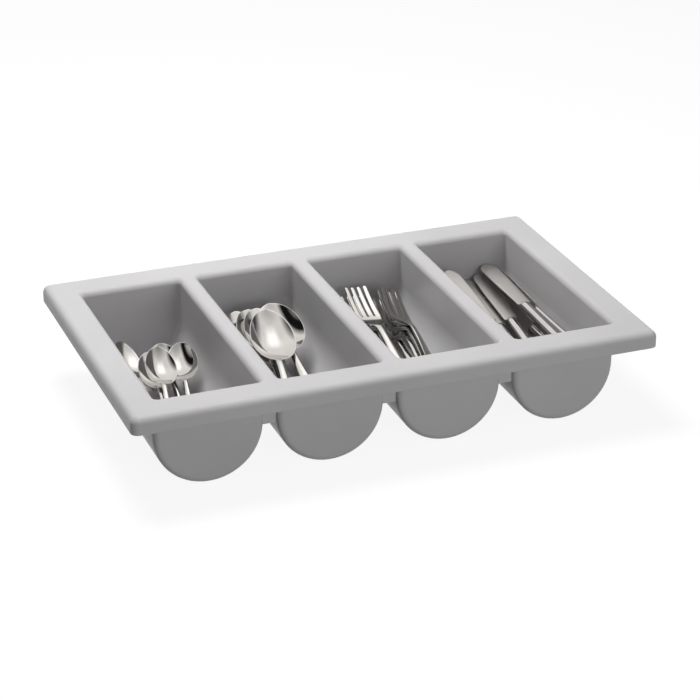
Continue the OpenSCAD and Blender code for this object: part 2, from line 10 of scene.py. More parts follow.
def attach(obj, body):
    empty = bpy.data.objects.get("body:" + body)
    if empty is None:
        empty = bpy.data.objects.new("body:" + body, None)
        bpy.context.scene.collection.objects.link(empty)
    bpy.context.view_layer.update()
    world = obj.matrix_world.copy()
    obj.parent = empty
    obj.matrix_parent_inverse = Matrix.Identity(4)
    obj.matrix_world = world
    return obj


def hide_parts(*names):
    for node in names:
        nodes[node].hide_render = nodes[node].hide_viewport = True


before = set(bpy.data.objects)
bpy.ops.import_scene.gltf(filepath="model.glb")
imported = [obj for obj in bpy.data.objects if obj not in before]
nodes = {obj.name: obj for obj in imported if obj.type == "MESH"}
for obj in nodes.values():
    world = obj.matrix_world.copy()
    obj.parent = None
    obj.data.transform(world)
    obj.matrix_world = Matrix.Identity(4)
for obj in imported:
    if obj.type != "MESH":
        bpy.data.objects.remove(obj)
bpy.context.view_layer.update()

mm = 0.001
print("frame loaded:", len(nodes), "nodes")


# shape helpers, all in millimetres

edgeSteps = (0.0, 0.12, 0.4, 0.75, 1.2)  # columns on a rounded edge, in widths of that edge
mostEdge = 0.3  # share of the half width that an edge may take


def smooth(a, b, x):  # 0 up to a, 1 from b on
    t = np.clip((np.asarray(x, float) - a) / (b - a), 0, 1)
    return t * t * (3 - 2 * t)


def roundEnd(distance, radius, least=0.0):  # share of the width that a round end leaves
    e = np.clip(1 - distance / radius, 0, 1)
    return max(math.sqrt(1 - e * e), least)


def acrossColumns(half, edge, count):  # -1 to 1, with extra columns on the rounded edges
    near = [min(edge * s / half, mostEdge * s) for s in edgeSteps]
    inner = np.linspace(-1 + near[-1], 1 - near[-1], count)
    return np.concatenate([[-1 + s for s in near[:-1]], inner, [1 - s for s in near[-2::-1]]])


def stripRing(y, half, z, thick, dish, thin, columns, edge):  # top left to right, underside back
    u = np.asarray(columns, float)
    middle = z - dish * (1 - u * u)
    body = thick / 2 * (1 - thin * u * u)
    if edge > 0:
        e = np.clip(1 - half * (1 - np.abs(u)) / edge, 0, 1)
        body = body * np.sqrt(1 - e * e)
    top = np.stack([half * u, np.full_like(u, y), middle + body], 1)
    under = np.stack([half * u, np.full_like(u, y), middle - body], 1)
    return np.concatenate([top, under[::-1]])


def ovalRing(y, half, height, count, least):  # section of a rounded bar
    a = np.linspace(0, math.pi, count + 1)
    s = np.maximum(np.sin(a), least)
    top = np.stack([-half * np.cos(a), np.full_like(a, y), height * s], 1)
    under = np.stack([-half * np.cos(a), np.full_like(a, y), -height * s], 1)
    return np.concatenate([top, under[::-1]])


def skin(rings):  # points and faces of a closed skin over rings
    rings = np.asarray(rings)
    m, n = rings.shape[:2]
    faces = []
    for i in range(m - 1):
        for j in range(n):
            k = (j + 1) % n
            faces.append((i * n + j, i * n + k, (i + 1) * n + k, (i + 1) * n + j))
    last = (m - 1) * n
    for j in range(n // 2 - 1):
        faces.append((j, n - 1 - j, n - 2 - j, j + 1))
        faces.append((last + j, last + j + 1, last + n - 2 - j, last + n - 1 - j))
    return rings.reshape(-1, 3), faces


# where a piece lies, from its solid in the frame

fitSteps = 8
faceUpWeight = 0.05  # of two equal fits, the one that lies face up
mergeGap = 0.002  # points closer than this become one


def massAxes(points, faces):  # volume centre and principal axes of a closed mesh, by tetrahedra
    tris = np.array([(f[0], f[i], f[i + 1]) for f in faces for i in range(1, len(f) - 1)])
    a, b, c = points[tris[:, 0]], points[tris[:, 1]], points[tris[:, 2]]
    volumes = np.einsum("ij,ij->i", a, np.cross(b, c)) / 6
    centre = (volumes[:, None] * (a + b + c) / 4).sum(0) / volumes.sum()
    a, b, c = a - centre, b - centre, c - centre
    volumes = np.einsum("ij,ij->i", a, np.cross(b, c)) / 6
    total = a + b + c
    second = sum(np.einsum("i,ij,ik->jk", volumes, p, p) for p in (a, b, c, total)) / 20
    return centre, np.linalg.eigh(second)[1]


def fitByAxes(points, faces, there, thereFaces):  # turn and shift that bring the axes together
    centreThere, axesThere = massAxes(there, thereFaces)
    centreHere, axesHere = massAxes(points, faces)
    best = None
    for signs in itertools.product((1, -1), repeat=3):
        turn = axesThere @ np.diag(signs) @ axesHere.T
        if np.linalg.det(turn) < 0:
            continue
        moved = (points - centreHere) @ turn.T + centreThere
        low, high = moved.min(0) - there.min(0), moved.max(0) - there.max(0)
        score = np.abs(low).sum() + np.abs(high).sum() - faceUpWeight * turn[2, 2]
        if best is None or score < best[0]:
            best = (score, turn, centreThere - turn @ centreHere)
    return best[1:]


def fitCloser(points, there, turn, shift):  # each point to the nearest one, a few times over
    for step in range(fitSteps):
        moved = points @ turn.T + shift
        gaps = ((moved[:, None] - there[None]) ** 2).sum(2)
        target = there[gaps.argmin(1)]
        middleHere, middleThere = points.mean(0), target.mean(0)
        left, _, right = np.linalg.svd((points - middleHere).T @ (target - middleThere))
        flip = np.diag([1, 1, np.sign(np.linalg.det(right.T @ left.T))])
        turn = right.T @ flip @ left.T
        shift = middleThere - turn @ middleHere
    miss = math.sqrt(((points @ turn.T + shift - target) ** 2).sum(1).max())
    return turn, shift, miss


def poseOf(node, points, faces):  # turns and moves a solid in millimetres onto a frame node
    mesh = nodes[node].data
    there = np.array([v.co for v in mesh.vertices]) / mm
    turn, shift = fitByAxes(points, faces, there, [tuple(p.vertices) for p in mesh.polygons])
    turn, shift, miss = fitCloser(points, there, turn, shift)
    matrix = Matrix(turn.tolist()).to_4x4()
    matrix.translation = Vector(shift * mm)
    return matrix, miss


def makeMesh(name, points, faces, materials, faceMaterial=None):
    mesh = bpy.data.meshes.new(name)
    mesh.from_pydata([tuple(p * mm) for p in points], [], faces)
    for material in materials:
        mesh.materials.append(material)
    if faceMaterial is not None:
        mesh.polygons.foreach_set("material_index", faceMaterial)
    work = bmesh.new()
    work.from_mesh(mesh)
    bmesh.ops.remove_doubles(work, verts=work.verts, dist=mergeGap * mm)
    bmesh.ops.recalc_face_normals(work, faces=work.faces)
    work.to_mesh(mesh)
    work.free()
    mesh.shade_smooth()
    mesh.update()
    return mesh


def layPieces(kind, mesh, solid):  # one object for each node of a kind
    worst = 0
    for node in sorted(n for n in nodes if n.rsplit("_", 1)[0] == kind):
        matrix, miss = poseOf(node, *solid)
        worst = max(worst, miss)
        piece = bpy.data.objects.new(node + "_detail", mesh)
        bpy.context.scene.collection.objects.link(piece)
        piece.matrix_world = matrix
        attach(piece, node)
        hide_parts(node)
    print(kind, "laid, worst fit", round(worst, 3), "mm")


# materials

noiseLow, noiseHigh = 0.3, 0.7  # most of a noise lies between these


def newMaterial(name):
    material = bpy.data.materials.new(name)
    material.use_nodes = True
    tree = material.node_tree
    shader = tree.nodes["Principled BSDF"]
    place = tree.nodes.new("ShaderNodeTexCoord")
    return material, tree, shader, place


def noiseNode(tree, place, scale, detail, stretch=(1, 1, 1)):
    mapping = tree.nodes.new("ShaderNodeMapping")
    mapping.inputs["Scale"].default_value = stretch
    tree.links.new(place.outputs["Object"], mapping.inputs["Vector"])
    noise = tree.nodes.new("ShaderNodeTexNoise")
    noise.inputs["Scale"].default_value = scale
    noise.inputs["Detail"].default_value = detail
    tree.links.new(mapping.outputs["Vector"], noise.inputs["Vector"])
    return noise.outputs["Fac"]


def rangeNode(tree, value, low, high, start=noiseLow, end=noiseHigh):
    node = tree.nodes.new("ShaderNodeMapRange")
    node.inputs["From Min"].default_value = start
    node.inputs["From Max"].default_value = end
    node.inputs["To Min"].default_value = low
    node.inputs["To Max"].default_value = high
    tree.links.new(value, node.inputs["Value"])
    return node.outputs["Result"]


def rampNode(tree, value, dark, light):
    ramp = tree.nodes.new("ShaderNodeValToRGB")
    ramp.color_ramp.elements[0].position = noiseLow
    ramp.color_ramp.elements[0].color = (*dark, 1)
    ramp.color_ramp.elements[1].position = noiseHigh
    ramp.color_ramp.elements[1].color = (*light, 1)
    tree.links.new(value, ramp.inputs["Fac"])
    return ramp.outputs["Color"]


def bumpNode(tree, value, shader, strength, distance):
    bump = tree.nodes.new("ShaderNodeBump")
    bump.inputs["Strength"].default_value = strength
    bump.inputs["Distance"].default_value = distance
    tree.links.new(value, bump.inputs["Height"])
    tree.links.new(bump.outputs["Normal"], shader.inputs["Normal"])


def varyFinish(tree, noise, shader, finish):  # colour and roughness both follow one noise
    colour = rampNode(tree, noise, finish["dark"], finish["light"])
    tree.links.new(colour, shader.inputs["Base Color"])
    tree.links.new(rangeNode(tree, noise, *finish["roughness"]), shader.inputs["Roughness"])


trayFinish = {
    "dark": (0.556, 0.547, 0.556),
    "light": (0.596, 0.587, 0.594),
    "roughness": (0.28, 0.36),
    "specular": 0.18,
    "cloudScale": 9, "cloudDetail": 4,
    "grainScale": 1400, "grainDetail": 2,
    "grainBump": 0.06, "grainDepth": 0.0002,
}


def trayPlastic(finish):
    material, tree, shader, place = newMaterial("satin_grey_plastic")
    cloud = noiseNode(tree, place, finish["cloudScale"], finish["cloudDetail"])
    grain = noiseNode(tree, place, finish["grainScale"], finish["grainDetail"])
    varyFinish(tree, cloud, shader, finish)
    shader.inputs["Specular IOR Level"].default_value = finish["specular"]
    bumpNode(tree, grain, shader, finish["grainBump"], finish["grainDepth"])
    return material


polishFinish = {
    "dark": (0.53, 0.516, 0.498),
    "light": (0.6, 0.585, 0.566),
    "roughness": (0.04, 0.1),
    "smudgeScale": 60, "smudgeDetail": 3,
    "lineScale": 700, "lineDetail": 2, "lineStretch": (1, 0.04, 1),
    "lineBump": 0.02, "lineDepth": 0.0001,
}


def polishedSteel(finish):
    material, tree, shader, place = newMaterial("polished_steel")
    smudge = noiseNode(tree, place, finish["smudgeScale"], finish["smudgeDetail"])
    lines = noiseNode(tree, place, finish["lineScale"], finish["lineDetail"], finish["lineStretch"])
    varyFinish(tree, smudge, shader, finish)
    shader.inputs["Metallic"].default_value = 1
    bumpNode(tree, lines, shader, finish["lineBump"], finish["lineDepth"])
    return material


bladeFinish = {
    "dark": (0.56, 0.545, 0.526),
    "light": (0.61, 0.594, 0.574),
    "roughness": (0.5, 0.58),
    "brushScale": 1500, "brushDetail": 3, "brushStretch": (0.05, 1, 1),
    "brushBump": 0.03, "brushDepth": 0.0001,
}


def satinBlade(finish):
    material, tree, shader, place = newMaterial("satin_blade_steel")
    brush = noiseNode(tree, place, finish["brushScale"], finish["brushDetail"], finish["brushStretch"])
    varyFinish(tree, brush, shader, finish)
    shader.inputs["Metallic"].default_value = 1
    bumpNode(tree, brush, shader, finish["brushBump"], finish["brushDepth"])
    return material


plastic = trayPlastic(trayFinish)
polish = polishedSteel(polishFinish)
satin = satinBlade(bladeFinish)
print("materials made")


# tray: the frame's own shape in the moulded plastic

tray = nodes["tray"]
tray.data.materials.clear()
tray.data.materials.append(plastic)
print("tray finished")


# handles of the spoons and forks
# of a pair (plain, fine) the first is for a plain solid like the frame's, the second for the detailed mesh

handleShape = {
    "thick": 1.15,  # times the head's thickness
    "crown": 0.85,  # how much of its thickness a handle loses at its edges
    "headThin": 0.35,  # and a head at its own
    "crownFade": 0.15,  # how far the crown runs on into the head, in handle lengths
    "widening": (0.05, 0.95),  # start and end of the widening, in handle lengths from the neck
    "dropPower": 0.8,  # how early it drops away from the neck
    "leastEnd": (0.12, 0.02),  # (plain, fine) share of the width at the very end
    "endSteps": (0, 0.06, 0.22, 0.5),  # plain rings round the end, in end widths
    "neckSteps": (0.22, 0.44, 0.66, 0.84, 1),  # plain rings from there to the neck
    "endRings": 12, "rings": 30,  # fine rings round the end and from there to the neck
}


def handleStations(length, endWidth, fine):
    roundStart = endWidth / 2 - length
    if fine:
        turns = np.linspace(0, math.pi / 2, handleShape["endRings"])
        return list(-length + endWidth / 2 * (1 - np.cos(turns))) + \
            list(np.linspace(roundStart, 0, handleShape["rings"])[1:])
    return [t * endWidth - length for t in handleShape["endSteps"]] + \
        [roundStart * (1 - t) for t in handleShape["neckSteps"]]


def handleHalf(s, share):  # half the width, at a share of the length from the neck
    return (s["neckWidth"] + (s["endWidth"] - s["neckWidth"]) * smooth(*handleShape["widening"], share)) / 2


def handleRise(s, share):
    return s["neckRise"] * (1 - smooth(0, 1, max(share, 0) ** handleShape["dropPower"]))


def crown(share):  # rounded along the handle, plain in the head
    thin = handleShape["headThin"]
    return thin + (handleShape["crown"] - thin) * float(smooth(-handleShape["crownFade"], 0, share))


def handleRings(s, length, columns, edge, fine):
    rings = []
    for y in handleStations(length, s["endWidth"], fine):
        share = -y / length
        end = roundEnd(length + y, s["endWidth"] / 2, handleShape["leastEnd"][fine])
        half = handleHalf(s, share) * end
        thick, thin = handleShape["thick"] * s["thick"], handleShape["headThin"]
        if fine:  # the crown falls away round the end too
            drop = crown(share)
            left = 1 - drop * (1 - end * end)
            thick, thin = thick * left, drop * end * end / left
        rings.append(stripRing(y, half, handleRise(s, share), thick, 0, thin, columns, min(edge, half)))
    return rings


# spoons

spoonShape = {
    "edge": 0.45,  # rounding of the edges, times the thickness
    "taper": 0.13,  # how much the bowl narrows towards its tip
    "neckRun": 0.3,  # where the neck has run out, in bowl lengths
    "neckBlend": 3,  # power that blends the neck into the bowl
    "columns": (7, 21), "rings": (7, 44),  # (plain, fine), and so are the next two
    "lastRing": (0.99, 0.9996), "leastHalf": (1.2, 0.3),  # last ring in bowl lengths, least half width
}
teaspoon = {
    "length": 142, "bowlLength": 53, "bowlWidth": 32, "bowlDepth": 7.5, "neckWidth": 5.5,
    "endWidth": 14, "thick": 1.8, "neckRise": 8, "tipRise": 12.5,
}
tablespoon = {
    "length": 204, "bowlLength": 74, "bowlWidth": 46, "bowlDepth": 9.5, "neckWidth": 7,
    "endWidth": 19, "thick": 2, "neckRise": 11, "tipRise": 20,
}


def spoonRings(s, fine):
    edge = spoonShape["edge"] * s["thick"] if fine else 0
    columns = np.linspace(-1, 1, spoonShape["columns"][fine])
    if fine:
        columns = acrossColumns(s["bowlWidth"] / 2, 2 * edge, spoonShape["columns"][fine])
    bowl = s["bowlLength"]
    handle = s["length"] - bowl
    rings = handleRings(s, handle, columns, edge, fine)
    steps = spoonShape["rings"][fine]
    power = spoonShape["neckBlend"]
    for i in range(1, steps + 1):
        y = bowl * (1 - math.cos(math.pi * i / steps)) / 2
        if i == steps:
            y = spoonShape["lastRing"][fine] * bowl
        u = 2 * y / bowl - 1
        bowlHalf = s["bowlWidth"] / 2 * math.sqrt(max(1 - u * u, 0)) * (1 - spoonShape["taper"] * u)
        neckHalf = s["neckWidth"] / 2 * (1 - smooth(0, spoonShape["neckRun"] * bowl, y))
        half = max((bowlHalf ** power + neckHalf ** power) ** (1 / power), spoonShape["leastHalf"][fine])
        z = s["neckRise"] + (s["tipRise"] - s["neckRise"]) * smooth(0, bowl, y)
        dish = s["bowlDepth"] * (1 - u * u)
        thin = crown(-y / handle) if fine else handleShape["headThin"]
        rings.append(stripRing(y, half, z, s["thick"], dish, thin, columns, min(edge, half)))
    return rings


for kind, sizes in (("teaspoon", teaspoon), ("tablespoon", tablespoon)):
    spoonMesh = makeMesh(kind, *skin(spoonRings(sizes, True)), [polish])
    layPieces(kind, spoonMesh, skin(spoonRings(sizes, False)))


# forks

fork = {
    "length": 200, "headLength": 73, "tineLength": 44, "headWidth": 25, "tineWidth": 4.8,
    "neckWidth": 7, "endWidth": 19, "thick": 2.2, "dish": 1.2,
    "dipLength": 23, "neckRise": 10.5, "palmRise": 4, "tipRise": 14, "tines": 4,
    "flare": 0.8,  # where the palm has its full width, in palm lengths
    "sweepPower": 1.7,  # how late the tines sweep up
    "tineThick": 0.85, "tipThin": 0.3,  # times the palm's thickness: at the root, and lost at the tip
    "tipNarrow": (0.4, 0.3),  # (plain, fine) share of its width that a tine loses
    "tineRound": 0.12,  # how much thinner a tine is at its sides
    "tipRadius": 2.2, "tipWidth": 0.25,  # round end of a tine, and the share of its width left at the tip
    "tipThick": 0.4,  # share of its thickness that the round end leaves alone
    "edge": 0.35, "edgeSegments": 2, "edgeAngle": 38,
}
forkGrid = {
    "columns": 5, "palmSteps": (0.25, 0.5, 0.75, 1), "tineSteps": (-0.03, 0.25, 0.5, 0.75, 1),  # plain
    "tineColumns": (-1, -0.55, 0, 0.55, 1), "palmRings": 14, "tineRings": 22,  # fine
    "gather": 0.1,  # where the fine columns start to gather into tines, in palm lengths
}


def palmHalf(s, y):
    flare = s["flare"] * (s["headLength"] - s["tineLength"])
    return (s["neckWidth"] + (s["headWidth"] - s["neckWidth"]) * smooth(0, flare, y)) / 2


def forkHeight(s, y):
    bend = s["dipLength"]
    if y < bend:
        return s["neckRise"] + (s["palmRise"] - s["neckRise"]) * smooth(0, bend, y)
    sweep = ((y - bend) / (s["headLength"] - bend)) ** s["sweepPower"]
    return s["palmRise"] + (s["tipRise"] - s["palmRise"]) * sweep


def tineMiddle(s, i):
    return (s["headWidth"] - s["tineWidth"]) * (i / (s["tines"] - 1) - 0.5)


def forkSolid(s):  # the same plain skins as the frame's solid
    palm = s["headLength"] - s["tineLength"]
    columns = np.linspace(-1, 1, forkGrid["columns"])
    rings = handleRings(s, s["length"] - s["headLength"], columns, 0, False)
    for t in forkGrid["palmSteps"]:
        y = t * palm
        dish = s["dish"] * smooth(0, palm, y)
        rings.append(stripRing(y, palmHalf(s, y), forkHeight(s, y), s["thick"], dish,
                               handleShape["headThin"], columns, 0))
    points, faces = skin(rings)
    for i in range(s["tines"]):
        x = tineMiddle(s, i)
        tine = []
        for t in forkGrid["tineSteps"]:
            y = s["headLength"] + (t - 1) * s["tineLength"]
            w = s["tineWidth"] / 2 * (1 - s["tipNarrow"][False] * max(t, 0))
            h = s["thick"] / 2 * (s["tineThick"] - s["tipThin"] * max(t, 0))
            z = forkHeight(s, y) - s["dish"] * (1 - (2 * x / s["headWidth"]) ** 2)
            tine.append([(x - w, y, z + h), (x + w, y, z + h), (x + w, y, z - h), (x - w, y, z - h)])
        tinePoints, tineFaces = skin(tine)
        faces += [tuple(k + len(points) for k in f) for f in tineFaces]
        points = np.concatenate([points, tinePoints])
    return points, faces


def forkFaces(index, rows, roots, count, perTine):  # past the roots each tine is closed by itself
    faces = []
    for r in range(rows - 1):
        for c in range(count - 1):
            if r >= roots and c % perTine == perTine - 1:
                continue
            for face in (1, -1):
                quad = [index[r, c, face], index[r, c + 1, face],
                        index[r + 1, c + 1, face], index[r + 1, c, face]]
                faces.append(tuple(quad if face > 0 else quad[::-1]))
        for c in range(count):
            left = c == 0 or (r >= roots and c % perTine == 0)
            right = c == count - 1 or (r >= roots and c % perTine == perTine - 1)
            if left or right:
                faces.append((index[r, c, 1], index[r + 1, c, 1], index[r + 1, c, -1], index[r, c, -1]))
    for c in range(count - 1):
        for r in (0, roots if c % perTine == perTine - 1 else rows - 1):
            faces.append((index[r, c, 1], index[r, c + 1, 1], index[r, c + 1, -1], index[r, c, -1]))
    return faces


def forkDetail(s):  # one closed skin whose palm runs out into the tines
    palm = s["headLength"] - s["tineLength"]
    length = s["length"] - s["headLength"]
    perTine = len(forkGrid["tineColumns"])
    count = s["tines"] * perTine
    even = np.linspace(-1, 1, count)
    rows = handleStations(length, s["endWidth"], True)
    rows += list(np.linspace(0, palm, forkGrid["palmRings"])[1:])
    roots = len(rows) - 1
    rows += list(palm + s["tineLength"] * np.linspace(0, 1, forkGrid["tineRings"])[1:])
    points, index = [], {}
    for r, y in enumerate(rows):
        t = (y - palm) / s["tineLength"]  # above 0 in the tines
        gathered = float(smooth(forkGrid["gather"] * palm, palm, y))
        rounding = roundEnd(length + y, s["endWidth"] / 2, handleShape["leastEnd"][True])
        if y <= 0:
            half = handleHalf(s, -y / length) * rounding
            middle = handleRise(s, -y / length)
            thick = handleShape["thick"] * s["thick"]
        else:
            half = palmHalf(s, y)
            middle = forkHeight(s, y)
            fade = smooth(0, palm / 2, y)
            thick = s["thick"] * (handleShape["thick"] + (1 - handleShape["thick"]) * fade)
        end = roundEnd((1 - t) * s["tineLength"], s["tipRadius"], s["tipWidth"])
        narrow = (1 - s["tipNarrow"][True] * t) * end if t > 0 else 1
        for c in range(count):
            side = forkGrid["tineColumns"][c % perTine]
            x = tineMiddle(s, c // perTine) + side * s["tineWidth"] / 2 * narrow
            x = even[c] * half * (1 - gathered) + x * gathered
            u = x / half if t <= 0 else 2 * x / s["headWidth"]
            z = middle - s["dish"] * smooth(0, palm, y) * (1 - u * u)
            h = thick / 2 * (1 - crown(-y / length) * (1 - rounding ** 2 * (1 - u * u)))
            if t > 0:
                h = thick / 2 * (s["tineThick"] - s["tipThin"] * t) * (1 - s["tineRound"] * side ** 2)
                h *= s["tipThick"] + (1 - s["tipThick"]) * end
            for face in (1, -1):
                index[r, c, face] = len(points)
                points.append((x, y, z + face * h))
    return np.array(points), forkFaces(index, len(rows), roots, count, perTine)


def bevelled(mesh, s):  # rounds the sharp edges of a mesh
    holder = bpy.data.objects.new("bevelHolder", mesh)
    bpy.context.scene.collection.objects.link(holder)
    bevel = holder.modifiers.new("edges", "BEVEL")
    bevel.width = s["edge"] * mm
    bevel.segments = s["edgeSegments"]
    bevel.limit_method = "ANGLE"
    bevel.angle_limit = math.radians(s["edgeAngle"])
    graph = bpy.context.evaluated_depsgraph_get()
    result = bpy.data.meshes.new_from_object(holder.evaluated_get(graph))
    bpy.data.objects.remove(holder)
    result.shade_smooth()
    return result


forkMesh = bevelled(makeMesh("fork", *forkDetail(fork), [polish]), fork)
layPieces("fork", forkMesh, forkSolid(fork))


# knives

knife = {
    "length": 206, "bladeLength": 100, "bladeWidth": 19, "bladeThick": 1.8,
    "handleWidth": 12.5, "neckWidth": 10.5, "handleThick": 8, "edge": 1.2,
    "widening": (0.1, 0.85),  # start and end, in handle lengths from the neck
    "neckThick": 0.8, "thickGain": 0.2, "thickening": (0.1, 0.9),  # in handle thicknesses and lengths
    "bolster": 0.03, "bolsterThick": 0.4,  # place in blade lengths, half height in handle thicknesses
    "stepLength": 1.6, "stepNarrow": 0.12, "stepDrop": 0.7,  # the step down to the blade
    "heelWidth": 0.82, "heelGain": 0.18, "heelRun": (0.05, 0.7),  # in blade widths and lengths
    "tipRadius": 0.75,  # in blade widths
    "bladeThin": (0.5, 0.12),  # (plain, fine) share of its thickness lost at the edges
}
knifeGrid = {
    "columns": (4, 12), "leastHeight": (0.25, 0.0),  # (plain, fine), and so are the next two
    "leastEnd": (0.12, 0.03), "leastTip": (0.12, 0.02),
    "handleSteps": (1, 0.98, 0.94, 0.86, 0.6, 0.3, 0),  # plain, from the end to the neck
    "bladeSteps": (0.05, 0.3, 0.6, 0.8, 0.9, 0.96, 0.995),  # plain, from the heel to the tip
    "endRings": 12, "handleRings": 24, "stepRings": (0.25, 0.5, 0.75),  # fine
    "bladeStart": 0.05, "bladeRings": 22, "tipLength": 0.2,  # fine, with about as many rings in the tip
}


def handleShares(s, handle, fine):  # 1 at the end of the handle, 0 at the neck
    if not fine:
        return knifeGrid["handleSteps"]
    end = s["handleWidth"] / 2 / handle
    turns = np.linspace(0, math.pi / 2, knifeGrid["endRings"])
    return list(1 - end * (1 - np.cos(turns))) + list(np.linspace(1 - end, 0, knifeGrid["handleRings"])[1:])


def bladeShares(fine):  # from the heel to the tip at 1, closer together in the tip
    if not fine:
        return knifeGrid["bladeSteps"]
    tip, count = knifeGrid["tipLength"], knifeGrid["bladeRings"]
    toTip = 1 - tip * (1 - np.linspace(0, 1, count)[1:]) ** 2
    return list(np.linspace(knifeGrid["bladeStart"], 1 - tip, count)) + list(toTip)


def knifeRings(s, fine):  # rings from end to tip, and the number of the ring where the blade starts
    handle = s["length"] - s["bladeLength"]
    count, least = knifeGrid["columns"][fine], knifeGrid["leastHeight"][fine]
    rings = []
    for share in handleShares(s, handle, fine):
        end = roundEnd((1 - share) * handle, s["handleWidth"] / 2, knifeGrid["leastEnd"][fine])
        wide = (s["handleWidth"] - s["neckWidth"]) * smooth(*s["widening"], share)
        half = (s["neckWidth"] + wide) / 2 * end
        height = (s["neckThick"] + s["thickGain"] * smooth(*s["thickening"], share)) * s["handleThick"] / 2
        height *= end if fine else (1 + end) / 2
        rings.append(ovalRing(-share * handle, half, height, count, least))
    bolster, height = s["bolster"] * s["bladeLength"], s["bolsterThick"] * s["handleThick"]
    rings.append(ovalRing(bolster, s["neckWidth"] / 2, height, count, least))
    if fine:  # small rounded step down to the blade
        for t in knifeGrid["stepRings"]:
            half = s["neckWidth"] / 2 * (1 - s["stepNarrow"] * t)
            lower = height * (1 - t * t * s["stepDrop"])
            rings.append(ovalRing(bolster + s["stepLength"] * t, half, lower, count, least))
    bladeStart = len(rings) - 1
    columns = -np.cos(np.linspace(0, math.pi, count + 1)) if fine else np.linspace(-1, 1, count + 1)
    for share in bladeShares(fine):
        half = s["bladeWidth"] / 2 * (s["heelWidth"] + s["heelGain"] * smooth(*s["heelRun"], share))
        half *= roundEnd((1 - share) * s["bladeLength"], s["tipRadius"] * s["bladeWidth"],
                         knifeGrid["leastTip"][fine])
        edge = min(s["edge"], half) if fine else 0
        rings.append(stripRing(share * s["bladeLength"], half, 0, s["bladeThick"], 0,
                               s["bladeThin"][fine], columns, edge))
    return rings, bladeStart


fineRings, bladeStart = knifeRings(knife, True)
knifePoints, knifeFaces = skin(fineRings)
onBlade = [int(min(f) >= bladeStart * len(fineRings[0])) for f in knifeFaces]
knifeMesh = makeMesh("knife", knifePoints, knifeFaces, [polish, satin], onBlade)
layPieces("knife", knifeMesh, skin(knifeRings(knife, False)[0]))


# camera, from the photograph's own view

photoView = {
    "azimuth": -20.91, "elevation": 25.46, "distance": 2.37466, "aimHeight": 0.047,
    "focalPixels": 2380.33, "photoWidth": 700, "centre": (343.48, 352.83), "sensorWidth": 36,
}


def photoCamera(v):
    a, e = math.radians(v["azimuth"]), math.radians(v["elevation"])
    back = Vector((math.sin(a) * math.cos(e), -math.cos(a) * math.cos(e), math.sin(e)))
    data = bpy.data.cameras.new("camera")
    data.sensor_width = v["sensorWidth"]
    data.lens = v["focalPixels"] / v["photoWidth"] * v["sensorWidth"]
    data.shift_x = (v["photoWidth"] / 2 - v["centre"][0]) / v["photoWidth"]
    data.shift_y = (v["centre"][1] - v["photoWidth"] / 2) / v["photoWidth"]
    camera = bpy.data.objects.new("camera", data)
    bpy.context.scene.collection.objects.link(camera)
    camera.location = Vector((0, 0, v["aimHeight"])) + back * v["distance"]
    camera.rotation_mode = "QUATERNION"
    camera.rotation_quaternion = (-back).to_track_quat("-Z", "Y")
    bpy.context.scene.camera = camera


photoCamera(photoView)
print("camera set")


# studio: pale floor, soft light from above, front and rear, a graded dome for the steel to mirror

def combine(tree, kind, a, b):
    node = tree.nodes.new("ShaderNodeMath")
    node.operation = kind
    tree.links.new(a, node.inputs[0])
    tree.links.new(b, node.inputs[1])
    return node.outputs[0]


def mixSeen(tree, unseen, seen):  # the second shader for camera, mirror and glass rays, the first for light
    path = tree.nodes.new("ShaderNodeLightPath").outputs
    direct = combine(tree, "MAXIMUM", path["Is Camera Ray"], path["Is Glossy Ray"])
    mix = tree.nodes.new("ShaderNodeMixShader")
    tree.links.new(combine(tree, "MAXIMUM", direct, path["Is Transmission Ray"]), mix.inputs["Fac"])
    tree.links.new(unseen, mix.inputs[1])
    tree.links.new(seen, mix.inputs[2])
    return mix.outputs[0]


def emptyMaterial(name):
    material = bpy.data.materials.new(name)
    material.use_nodes = True
    tree = material.node_tree
    tree.nodes.clear()
    return material, tree, tree.nodes.new("ShaderNodeOutputMaterial").inputs["Surface"]


def greyDiffuse(tree, grey):
    node = tree.nodes.new("ShaderNodeBsdfDiffuse")
    node.inputs["Color"].default_value = (grey, grey, grey, 1)
    return node.outputs[0]


floorLook = {
    "size": 12,
    "glow": 0.9,  # what is seen of it even in shadow
    "shade": 0.15,  # and what the lamps add to that
    "bounce": 0.13,  # what it throws back at the object
}


def paleFloor(s):
    half = s["size"] / 2
    corners = [(-half, -half, 0), (half, -half, 0), (half, half, 0), (-half, half, 0)]
    mesh = bpy.data.meshes.new("floor")
    mesh.from_pydata(corners, [], [(0, 1, 2, 3)])
    floor = bpy.data.objects.new("floor", mesh)
    bpy.context.scene.collection.objects.link(floor)
    material, tree, surface = emptyMaterial("pale_floor")
    glow = tree.nodes.new("ShaderNodeEmission")
    glow.inputs["Strength"].default_value = s["glow"]
    seen = tree.nodes.new("ShaderNodeAddShader")
    tree.links.new(glow.outputs[0], seen.inputs[0])
    tree.links.new(greyDiffuse(tree, s["shade"]), seen.inputs[1])
    tree.links.new(mixSeen(tree, greyDiffuse(tree, s["bounce"]), seen.outputs[0]), surface)
    mesh.materials.append(material)


worldLight = 0.11  # faint light from all round; the world is seen as plain white


def softWorld(strength):
    world = bpy.data.worlds.new("studio")
    bpy.context.scene.world = world
    world.use_nodes = True
    tree = world.node_tree
    light = tree.nodes["Background"]
    light.inputs["Strength"].default_value = strength
    light.inputs["Color"].default_value = (1, 1, 1, 1)
    white = tree.nodes.new("ShaderNodeBackground")
    white.inputs["Color"].default_value = (1, 1, 1, 1)
    surface = tree.nodes["World Output"].inputs["Surface"]
    tree.links.new(mixSeen(tree, light.outputs[0], white.outputs[0]), surface)


